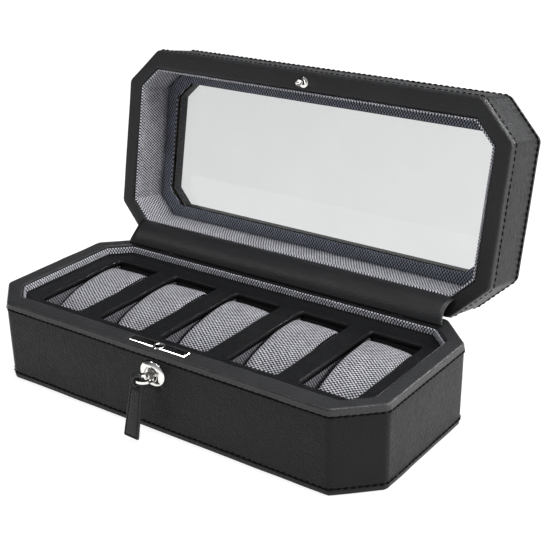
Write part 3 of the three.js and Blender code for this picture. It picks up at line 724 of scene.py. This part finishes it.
def build_tray():
    """The leather tray with its five slots, rolled over their edges."""
    fold = [(SLOT_ROLL, TRAY_TOP)]
    for k in range(1, 6):
        t = math.radians(18 * k)
        fold.append((SLOT_ROLL * (1 - math.sin(t)), TRAY_TOP - SLOT_ROLL * (1 - math.cos(t))))
    fold.append((0.0, TRAY_BOTTOM))
    edge = octagon_loop(inset(WELL, 2.3), 1.4)
    points = []
    shelf = add_loop(points, at_height(octagon_loop(inset(WELL, 5.0), 1.4), TRAY_TOP))
    lip = add_loop(points, at_height(edge, TRAY_TOP + TRAY_LIP))
    faces = bridge(lip, shelf)
    tops = [shelf]
    bottoms = []
    for x in SLOT_CENTRES:
        rings = []
        for d, z in fold:
            ring = rounded_rectangle(x - SLOT_HALF, x + SLOT_HALF, *SLOT_ENDS, SLOT_ROUND, d)
            rings.append(add_loop(points, at_height(ring, z)))
        tops.append(rings[0])
        bottoms.append(rings[-1])
        for a, b in zip(rings, rings[1:]):
            faces += bridge(a, b)
    faces += fill_flat(points, tops)
    under = add_loop(points, at_height(edge, TRAY_BOTTOM))
    faces += bridge(lip, under)
    faces += fill_flat(points, [under] + bottoms)
    tray = weighted(make_mesh("tray_skin", points, faces))
    settle(tray, "base", tray_leather, "leather", "tray_frame")


# ------------ cushions
CUSHION_HALF = 18.2
CUSHION_FOOT = FLOOR_PAD_TOP + 0.4
# The side of a cushion as (y, z), from the rear of its foot up over the crown and down the front.
CUSHION_SIDE = [(30, CUSHION_FOOT), (35.5, 20), (37.8, 36), (37.6, 47), (35.8, 51.9), (32, 53.6), (25, 54.1)]
CUSHION_SIDE += [(8, 53.3), (-8, 50.4), (-24, 45.0), (-35, 38.0), (-40.5, 27), (-37, 14), (-30, CUSHION_FOOT)]
CUSHION_REACH = (19.6, -43.7, 42.7)  # half width, front and rear limits inside the slot
FILL_TRAVEL = 1.1  # the most that filling moves the cover
SEAM_CORD = 0.42
AROUND = 84
ACROSS = 16
PANEL_RINGS = (0.86, 0.68, 0.48, 0.26)


def smooth_path(points, steps):
    """A Catmull-Rom curve through the points."""
    extended = [points[0]] + list(points) + [points[-1]]
    path = []
    for i in range(1, len(extended) - 2):
        p0, p1, p2, p3 = (np.array(extended[i + k]) for k in (-1, 0, 1, 2))
        for k in range(steps):
            t = k / steps
            path.append(0.5 * (2 * p1 + (p2 - p0) * t + (2 * p0 - 5 * p1 + 4 * p2 - p3) * t * t
                               + (3 * p1 - p0 - 3 * p2 + p3) * t ** 3))
    path.append(np.array(points[-1], float))
    return np.array(path)


def cushion_outline():
    """The smoothed side of a cushion as evenly spaced points, and its length."""
    path = smooth_path(CUSHION_SIDE, 12)
    path[:, 1] = np.maximum(path[:, 1], CUSHION_FOOT)
    closed, run = closed_run(path)
    stations = run[-1] * np.arange(AROUND) / AROUND
    loop = np.stack([np.interp(stations, run, closed[:, k]) for k in (0, 1)], 1)
    return loop, run[-1]


def cushion_mesh(index, centre):
    """A cushion before it is filled: a band round the outline and a panel at each side."""
    outline, total = cushion_outline()
    middle = outline.mean(0)
    draw = random.Random(50 + index)
    phase = draw.uniform(0, 2)
    points = []
    for i in range(ACROSS + 1):
        t = -1 + 2 * i / ACROSS
        scale = 0.985 - 0.012 * t ** 6
        for y, z in middle + (outline - middle) * scale:
            points.append((centre + t * CUSHION_HALF, y, z))
    faces = []
    uvs = []
    for i in range(ACROSS):
        for j in range(AROUND):
            n = (j + 1) % AROUND
            faces.append((i * AROUND + j, (i + 1) * AROUND + j, (i + 1) * AROUND + n, i * AROUND + n))
            u0, u1 = (2 * CUSHION_HALF * (i + k) / ACROSS + phase for k in (0, 1))
            v0, v1 = (total * (j + k) / AROUND + phase for k in (0, 1))
            uvs += [(u0, v0), (u1, v0), (u1, v1), (u0, v1)]
    for side in (-1, 1):
        edge = [k + (0 if side < 0 else ACROSS * AROUND) for k in range(AROUND)]
        for ratio in PANEL_RINGS:
            x = centre + side * (CUSHION_HALF + 0.5 * (1 - ratio))
            ring = add_loop(points, [(x, y, z) for y, z in middle + (outline - middle) * 0.973 * ratio])
            for face in bridge(edge, ring):
                faces.append(face)
                uvs += [(points[q][2], points[q][1]) for q in face]
            edge = ring
        faces.append(tuple(edge))
        uvs += [(points[q][2], points[q][1]) for q in edge]
    return make_mesh(f"cushion_{index}_cover", points, faces, uvs)


def fill_cushions(cushions):
    """The covers are inflated as cloth, all at once, and keep the shape that they take."""
    scene = bpy.context.scene
    starts = {}
    for cushion in cushions:
        starts[cushion.name] = np.array([v.co for v in cushion.data.vertices])
        cloth = cushion.modifiers.new("cloth", "CLOTH").settings
        cloth.quality = 6
        cloth.mass = 0.2
        cloth.tension_stiffness = cloth.compression_stiffness = 30
        cloth.shear_stiffness = 12
        cloth.bending_stiffness = 1.2
        cloth.use_pressure = True
        cloth.uniform_pressure_force = 4.0
        cloth.effector_weights.gravity = 0
    for step in range(1, 21):
        scene.frame_set(step)
    graph = bpy.context.evaluated_depsgraph_get()
    for cushion in cushions:
        moved = np.array([v.co for v in cushion.evaluated_get(graph).data.vertices])
        start = starts[cushion.name]
        travel = moved - start
        length = np.linalg.norm(travel, axis=1, keepdims=True)
        moved = start + travel * np.minimum(1, FILL_TRAVEL * MM / np.maximum(length, 1e-9))
        cushion.modifiers.clear()
        cushion.data.vertices.foreach_set("co", moved.ravel())
        cushion.data.update()
    scene.frame_set(1)


def shape_cushion(cushion, index, centre):
    """Keeps a filled cushion inside its slot, sews its two seams and smooths it."""
    points = np.array([v.co for v in cushion.data.vertices]) / MM
    half, front, rear = CUSHION_REACH
    shift = Vector((index * 11.7, 4.0, 2.0))
    for p in points:
        wobble = noise.noise_vector(Vector(p) * 0.05 + shift)
        p += np.array(wobble) * 0.5
        t = min(1.0, abs(p[0] - centre) / CUSHION_HALF)
        if p[2] > 30:  # the crown swells in the middle
            p[2] += 0.7 * (1 - t * t)
        p[0] = centre + np.clip(p[0] - centre, -half, half)
        p[1] = np.clip(p[1], front, rear)
        p[2] = max(p[2], CUSHION_FOOT)
    cushion.data.vertices.foreach_set("co", (points * MM).ravel())
    cushion.data.update()
    smooth = cushion.modifiers.new("smooth", "SUBSURF")
    smooth.levels = 1
    smooth.render_levels = 1
    apply_modifiers(cushion)
    # Each seam is a black cord: the seam's real thread, and painted shade standing in for the dark valley
    # along it.
    seams = []
    for side, row in (("left", 0), ("right", ACROSS)):
        ring = [cushion.data.vertices[row * AROUND + j].co.copy() for j in range(AROUND)]
        for co in ring:
            co.x += (-0.1 if side == "left" else 0.1) * MM
        seams.append(cord_curve(f"cushion_{index}_seam_{side}", ring, SEAM_CORD * MM))
    return seams


def cord_curve(name, ring, radius):
    """A closed cord through points in metres."""
    curve = bpy.data.curves.new(name, "CURVE")
    curve.dimensions = "3D"
    curve.bevel_depth = radius
    curve.bevel_resolution = 2
    spline = curve.splines.new("POLY")
    spline.points.add(len(ring) - 1)
    for point, co in zip(spline.points, ring):
        point.co = (*co, 1)
    spline.use_cyclic_u = True
    return new_object(name, curve)


def build_cushions():
    cushions = [cushion_mesh(i + 1, x) for i, x in enumerate(SLOT_CENTRES)]
    fill_cushions(cushions)
    for i, (cushion, centre) in enumerate(zip(cushions, SLOT_CENTRES)):
        number = i + 1
        seams = shape_cushion(cushion, number, centre)
        settle(cushion, f"cushion_{number}", cushion_weave, "cushion_weave", f"cushion_{number}")
        for seam in seams:
            settle(seam, f"cushion_{number}", thread, "cushion_weave")


# ------------ hinge strip
def build_gusset():
    """The leather strip over the hinges, an arc about the pivot, shaped for the open lid."""
    reach = 14.0  # from the pivot to the strip at its two ends
    sag = 1.8
    thick = 1.0
    half_length = 141.5
    first, last = 1.5, 100.3  # degrees round the pivot, from the base to the open lid
    steps_x, steps = 90, 18
    points = []
    for layer in (0, 1):
        for i in range(steps_x + 1):
            for k in range(steps + 1):
                t = k / steps
                turn = math.radians(first + (last - first) * t)
                middle = math.sin(math.pi * t)
                x = (half_length - 2.0 * middle) * (-1 + 2 * i / steps_x)
                place = Vector((x * 0.012, t * 1.4, 3.7))
                ripple = 0.5 * noise.noise(place) * middle
                radius = reach - sag * middle + ripple + layer * thick
                points.append((x, HINGE_Y - radius * math.cos(turn), HINGE_Z + radius * math.sin(turn)))
    row = steps + 1
    sheet = (steps_x + 1) * row

    def quads(corners, one, other):
        return [(a, a + one, a + one + other, a + other) for a in corners]

    inner = [i * row + k for i in range(steps_x) for k in range(steps)]
    faces = quads(inner, row, 1) + quads([sheet + a for a in inner], row, 1)
    faces += quads([i * row + k for i in range(steps_x) for k in (0, steps)], row, sheet)
    faces += quads([i * row + k for i in (0, steps_x) for k in range(steps)], 1, sheet)
    strip = make_mesh("hinge_strip", points, faces)
    # The strip's lightened leather is painted light.
    strip.data.materials.append(gusset_leather_painted_light)
    start = Vector((0, (HINGE_Y - reach) * MM, HINGE_Z * MM))
    end = Vector(start - PIVOT)
    end.rotate(Matrix.Rotation(-LID_OPEN, 3, "X"))
    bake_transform(strip)
    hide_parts("hinge_gusset")


# ------------ lock and key
def lathe_mesh(name, profile, steps, place):
    """A closed profile of (radius, height) turned about an axis; place is a 4x4 in millimetres."""
    points = []
    faces = []
    count = len(profile)
    for i in range(steps):
        turn = math.tau * i / steps
        for r, h in profile:
            points.append(place @ Vector((r * math.cos(turn), r * math.sin(turn), h)))
    for i in range(steps):
        n = (i + 1) % steps
        for k in range(count):
            m = (k + 1) % count
            if profile[k][0] < 1e-6 and profile[m][0] < 1e-6:
                continue
            faces.append((i * count + k, n * count + k, n * count + m, i * count + m))
    return make_mesh(name, points, faces, weld=True)


def plate_outline(d):
    """The face plate's outline moved inwards by d: a bar that widens round the eyelet."""
    half_x, half_y, boss = 24 - d, 3.4 - d, 4.6 - d
    meet = math.asin(half_y / boss)
    turns = [meet + (math.pi - 2 * meet) * k / 12 for k in range(13)]
    rear = [(boss * math.cos(t), boss * math.sin(t)) for t in turns]
    front = [(-x, -y) for x, y in rear]
    loop = [(-half_x, -half_y)] + front + [(half_x, -half_y), (half_x, half_y)] + rear
    return loop + [(-half_x, half_y)]


def build_face_plate():
    """The plate in the front rim: a bright eased edge, a face whose darkness is a painted dark reflection,
    and the eyelet for the lid's stud.
    """
    top = 62.85
    bottom = top - 1.5
    hole_radius = 3.2
    points = []
    rings = []
    for d, z in ((0.5, top), (0.05, top - 0.45), (0.0, top - 0.6), (0.0, bottom)):
        outline = [(x, y + LOCK_Y) for x, y in plate_outline(d)]
        rings.append(add_loop(points, at_height(outline, z)))
    faces = []
    for a, b in zip(rings, rings[1:]):
        faces += bridge(a, b)
    turns = [math.tau * k / 32 for k in range(32)]
    circle = [(hole_radius * math.cos(t), LOCK_Y + hole_radius * math.sin(t)) for t in turns]
    upper, lower = (add_loop(points, at_height(circle, z)) for z in (top, bottom))
    faces += bridge(upper, lower)
    faces += fill_flat(points, [rings[0], upper])
    faces += fill_flat(points, [rings[-1], lower])
    plate = make_mesh("lock_plate", points, faces, smooth=False)
    settle(plate, "base", nickel, "nickel", "lock_face_plate")
    # The flat face gets the dark nickel: a painted dark reflection.
    plate.data.materials.append(nickel_painted_dark_reflection)
    for face in plate.data.polygons:
        if face.normal.z > 0.99:
            face.material_index = 1
    eyelet = [(2.9, top - 1.1), (4.1, top - 0.3), (4.15, top), (3.95, top + 0.15), (3.5, top + 0.2)]
    eyelet += [(3.1, top + 0.15), (2.9, top)]
    ring = lathe_mesh("lock_eyelet", eyelet, 48, Matrix.Translation((0, LOCK_Y, 0)))
    settle(ring, "base", nickel, "nickel")


FRONT_FACING = Matrix.Translation((0, -OUTER[1], LOCK_Z)) @ Matrix.Rotation(math.radians(90), 4, "X")


def build_escutcheon():
    """The domed rose round the keyhole, a little less tall than wide."""
    dome = [(5.15, 0.1), (10.5, 0.1), (10.6, 0.35), (10.5, 0.7), (10.15, 1.05), (9.5, 1.4), (8.6, 1.75)]
    dome += [(7.6, 2.05), (6.6, 2.28), (5.8, 2.38), (5.35, 2.3), (5.15, 2.0)]
    escutcheon = lathe_mesh("lock_escutcheon", dome, 72, FRONT_FACING)
    for vertex in escutcheon.data.vertices:
        rise = vertex.co.z - LOCK_Z * MM
        reach = math.hypot(rise, vertex.co.x) / MM
        vertex.co.z -= rise * 0.13 * max(0.0, min(1.0, (reach - 5.4) / 4))
    settle(escutcheon, "base", nickel, "nickel", "escutcheon")


def bevel_node(name, width, material, segments=2):
    """A CAD node keeps its shape; its edges are eased and it gets a finish."""
    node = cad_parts[name]
    bevel = node.modifiers.new("eased", "BEVEL")
    bevel.width = width * MM
    bevel.segments = segments
    bevel.limit_method = "ANGLE"
    bevel.angle_limit = math.radians(35)
    bevel.harden_normals = True
    paint_node(name, material)


def paint_node(name, material):
    """A CAD node keeps its shape and gets a finish."""
    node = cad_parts[name]
    if not node.material_slots:
        node.data.materials.append(material)
    for place in node.material_slots:
        place.material = material


def build_strap():
    """The leather loop from the key's bow down to the tab, folded round the bow."""
    outline = []
    for k in range(13):
        t = math.radians(180 * k / 12)
        outline.append((3.6 * math.cos(t), 0.4 + 3.2 * math.sin(t)))
    outline += [(-3.4, -1.4), (-2.6, -2.9), (-1.7, -3.9), (1.7, -3.9), (2.6, -2.9), (3.4, -1.4)]
    inner = []
    for x, z in outline:
        length = math.hypot(x, z)
        shrink = (length - 1.2) / length if z > -3.5 else 0
        inner.append((x * shrink, z * shrink) if shrink else (x * 0.45, -2.7))
    width = 2.7
    points = []
    for loop, extra in ((outline, 0.0), (inner, 0.15)):
        for side in (-1, 1):
            points += [(x, side * (width - extra), z) for x, z in loop]
    n = len(outline)
    faces = []
    for k in range(n):
        m = (k + 1) % n
        for a, b in ((0, n), (2 * n, 3 * n), (0, 2 * n), (n, 3 * n)):
            faces.append((a + k, a + m, b + m, b + k))
    turn = Matrix.Translation(HANG) @ Matrix.Rotation(math.radians(225), 4, "Z")
    strap = make_mesh("key_strap", [turn @ Vector(p) for p in points], faces)
    ease = strap.modifiers.new("ease", "BEVEL")
    ease.width = 0.35 * MM
    ease.segments = 2
    ease.limit_method = "ANGLE"
    strap.data.materials.append(tab_leather_painted_light)
    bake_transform(strap)
    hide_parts("key_loop")
    tongue = box_mesh("strap_tongue", HANG + Vector((-2, -0.45, -5.3)), HANG + Vector((2, 0.45, -3.2)))
    settle(tongue, "key_loop", tab_leather_painted_light, "leather")


def box_mesh(name, low, high):
    """A plain block between two corners."""
    points = [(x, y, z) for x in (low[0], high[0]) for y in (low[1], high[1]) for z in (low[2], high[2])]
    faces = [(0, 1, 3, 2), (4, 5, 7, 6), (0, 1, 5, 4), (2, 3, 7, 6), (0, 2, 6, 4), (1, 3, 7, 5)]
    return make_mesh(name, points, faces, smooth=False)


TAB_LENGTH = 37.0


def tab_outline(d):
    """The tab's face moved inwards by d, with rounded corners."""
    corners = [(-6.5 + d, -TAB_LENGTH + d), (6.5 - d, -TAB_LENGTH + d), (5.25 - d, -d), (-5.25 + d, -d)]
    loop = []
    radius = max(1.4 - d * 0.6, 0.4)
    for i, (x, y) in enumerate(corners):
        before = Vector(corners[i - 1]) - Vector((x, y))
        after = Vector(corners[(i + 1) % 4]) - Vector((x, y))
        start = Vector((x, y)) + before.normalized() * radius
        end = Vector((x, y)) + after.normalized() * radius
        for k in range(6):
            t = k / 5
            p = start * (1 - t) ** 2 + Vector((x, y)) * 2 * t * (1 - t) + end * t * t
            loop.append(tuple(p))
        steps = 12 if i % 2 else 4
        target = Vector(corners[(i + 1) % 4]) - after.normalized() * radius
        for k in range(1, steps):
            loop.append(tuple(end + (target - end) * k / steps))
    return loop


def build_tab():
    """The leather tab under the strap: two faces with a stitched groove inside a rounded edge."""
    turn = Matrix.Translation(HANG - Vector((0, 0, 5.0)))
    turn = turn @ Matrix.Rotation(math.radians(-11.5), 4, "X") @ Matrix.Rotation(math.radians(2), 4, "Y")
    # how far inside the edge, and how far out from the middle of the thickness
    levels = [(0.0, 0.0), (0.05, 0.35), (0.3, 0.75), (0.7, 0.92), (1.2, 0.88), (1.6, 0.3), (2.0, 0.85)]
    levels += [(2.7, 1.05), (3.8, 1.15)]
    sides = [(d, h) for d, h in reversed(levels)] + [(d, -h) for d, h in levels[1:]]
    points = []
    rings = [add_loop(points, [(x, -h, y) for x, y in tab_outline(d)]) for d, h in sides]
    faces = []
    for a, b in zip(rings, rings[1:]):
        faces += bridge(a, b)
    faces.append(tuple(rings[0]))
    faces.append(tuple(rings[-1]))
    points = [turn @ Vector(p) for p in points]
    tab = make_mesh("leather_tab", points, faces)
    settle(tab, "key_tab", tab_leather_painted_light, "leather", "key_tab")
    build_tab_stitches(turn)


def build_tab_stitches(turn):
    """Small stitches round both faces of the tab."""
    closed, run = closed_run(tab_outline(1.55))
    total = round(run[-1] / 2.6)
    points = []
    faces = []
    for i in range(total):
        place, along = walk(closed, run, run[-1] * i / total, 0.3)
        for face in (-1, 1):
            middle = np.array([place[0], face * 0.62, place[1]])
            direction = np.array([along[0], 0, along[1]])
            up = np.array([0, face, 0])
            add_stitch(points, faces, middle, direction, up, np.cross(direction, up), 1.9, 0.26)
    row = make_mesh("tab_stitches", [turn @ Vector(p) for p in points], faces)
    settle(row, "key_tab", thread, "leather")


def build_stud():
    """The catch under the lid's front rim: a ball on a neck, its flange and its shank."""
    ball = [(0, -8.5), (0.8, -8.38), (1.5, -8.1), (2.05, -7.5), (2.35, -6.8), (2.4, -6.1), (2.25, -5.4)]
    ball += [(1.9, -4.8), (1.5, -4.3), (1.4, -3.5), (1.4, -0.3), (2.0, 0.1), (3.6, 0.15), (4.0, 0.3)]
    ball += [(4.0, 0.9), (1.5, 0.95), (1.5, 7.0), (0, 7.0)]
    place = Matrix.Translation((0, LOCK_Y, LID_RIM))
    stud = lathe_mesh("lid_stud", ball, 40, place)
    settle(stud, "lid", nickel, "nickel", "catch_stud")


# ------------ finishes on the CAD nodes
def finish_nodes():
    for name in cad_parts:
        if "_board_" in name and not name.startswith("well_"):
            paint_node(name, board)
    for name in ("base_floor_board", "lid_top_frame"):
        paint_node(name, board)
    paint_node("underside_pad", felt)
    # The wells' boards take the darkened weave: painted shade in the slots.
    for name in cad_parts:
        if name.startswith("well_") and name != "well_floor_pad":
            paint_node(name, board_weave_painted_shade)
    # The rear board is dark felt as painted shade in the gap behind each cushion.
    paint_node("well_rear_board", felt)
    paint_node("well_floor_pad", floor_weave)
    for name in ("lock_case", "lock_bolt"):
        paint_node(name, steel)
    for side in ("left", "right"):
        for kind in ("base_leaf", "lid_leaf", "pin"):
            paint_node(f"hinge_{kind}_{side}", steel)
    bevel_node("lock_plug", 0.25, nickel)
    bevel_node("key", 0.35, nickel, 3)
    paint_node("lid_window_trim", leather)
    paint_node("lid_window_glass", glass)


# ------------ stage and light
def area_light(name, place, target, size, power, size_y=None):
    data = bpy.data.lights.new(name, "AREA")
    data.energy = power
    data.size = size
    if size_y:
        data.shape = "RECTANGLE"
        data.size_y = size_y
    obj = new_object(name, data)
    obj.location = place
    obj.rotation_euler = (Vector(target) - Vector(place)).to_track_quat("-Z", "Y").to_euler()


def build_floor():
    """A plain white floor that lights itself, so that it stays even."""
    nodes = Nodes("floor")
    nodes.set("Base Color", (0.25, 0.25, 0.25, 1))
    nodes.set("Roughness", 0.9)
    nodes.set("Specular IOR Level", 0.0)
    nodes.set("Emission Color", (1, 1, 1, 1))
    nodes.set("Emission Strength", 0.88)
    mesh = bpy.data.meshes.new("floor")
    half = 12.0
    corners = [(-half, -half, 0), (half, -half, 0), (half, half, 0), (-half, half, 0)]
    mesh.from_pydata(corners, [], [(0, 1, 2, 3)])
    mesh.materials.append(nodes.material)
    floor = new_object("floor", mesh)
    floor.location.z = -0.0002


def build_sky():
    """A pale sky, brightest at the horizon and on the right."""
    world = bpy.data.worlds.new("studio")
    world.use_nodes = True
    tree = world.node_tree
    sky = tree.nodes["Background"]
    sky.inputs["Color"].default_value = (0.95, 0.97, 1.0, 1)
    split = tree.nodes.new("ShaderNodeSeparateXYZ")
    direction = tree.nodes.new("ShaderNodeTexCoord").outputs["Generated"]
    tree.links.new(direction, split.inputs[0])
    product = tree.nodes.new("ShaderNodeMath")
    product.operation = "MULTIPLY"
    upwards = map_range(tree, split.outputs[2], 0.02, 0.3, 0.8, 0.3)
    sideways = map_range(tree, split.outputs[0], -0.8, -0.35, 0.15, 1.0)
    tree.links.new(upwards, product.inputs[0])
    tree.links.new(sideways, product.inputs[1])
    tree.links.new(product.outputs[0], sky.inputs["Strength"])
    bpy.context.scene.world = world


def build_stage():
    build_floor()
    build_sky()
    middle = (0, 0, 0.06)
    area_light("key_left", (-1.03, -0.85, 1.4), middle, 0.36, 3.6)
    area_light("side_right", (1.6, 0.25, 0.75), middle, 0.8, 27, 0.8)
    area_light("top_soft", (0.3, -0.1, 1.9), middle, 0.8, 22)
    area_light("back_right", (0.98, 1.5, 1.15), middle, 0.5, 22)


# ------------ the whole box
place_camera()
build_base_covering()
build_lid_covering()
build_linings()
build_tray()
build_cushions()
build_gusset()
build_face_plate()
build_escutcheon()
build_strap()
build_tab()
build_stud()
finish_nodes()
build_stage()
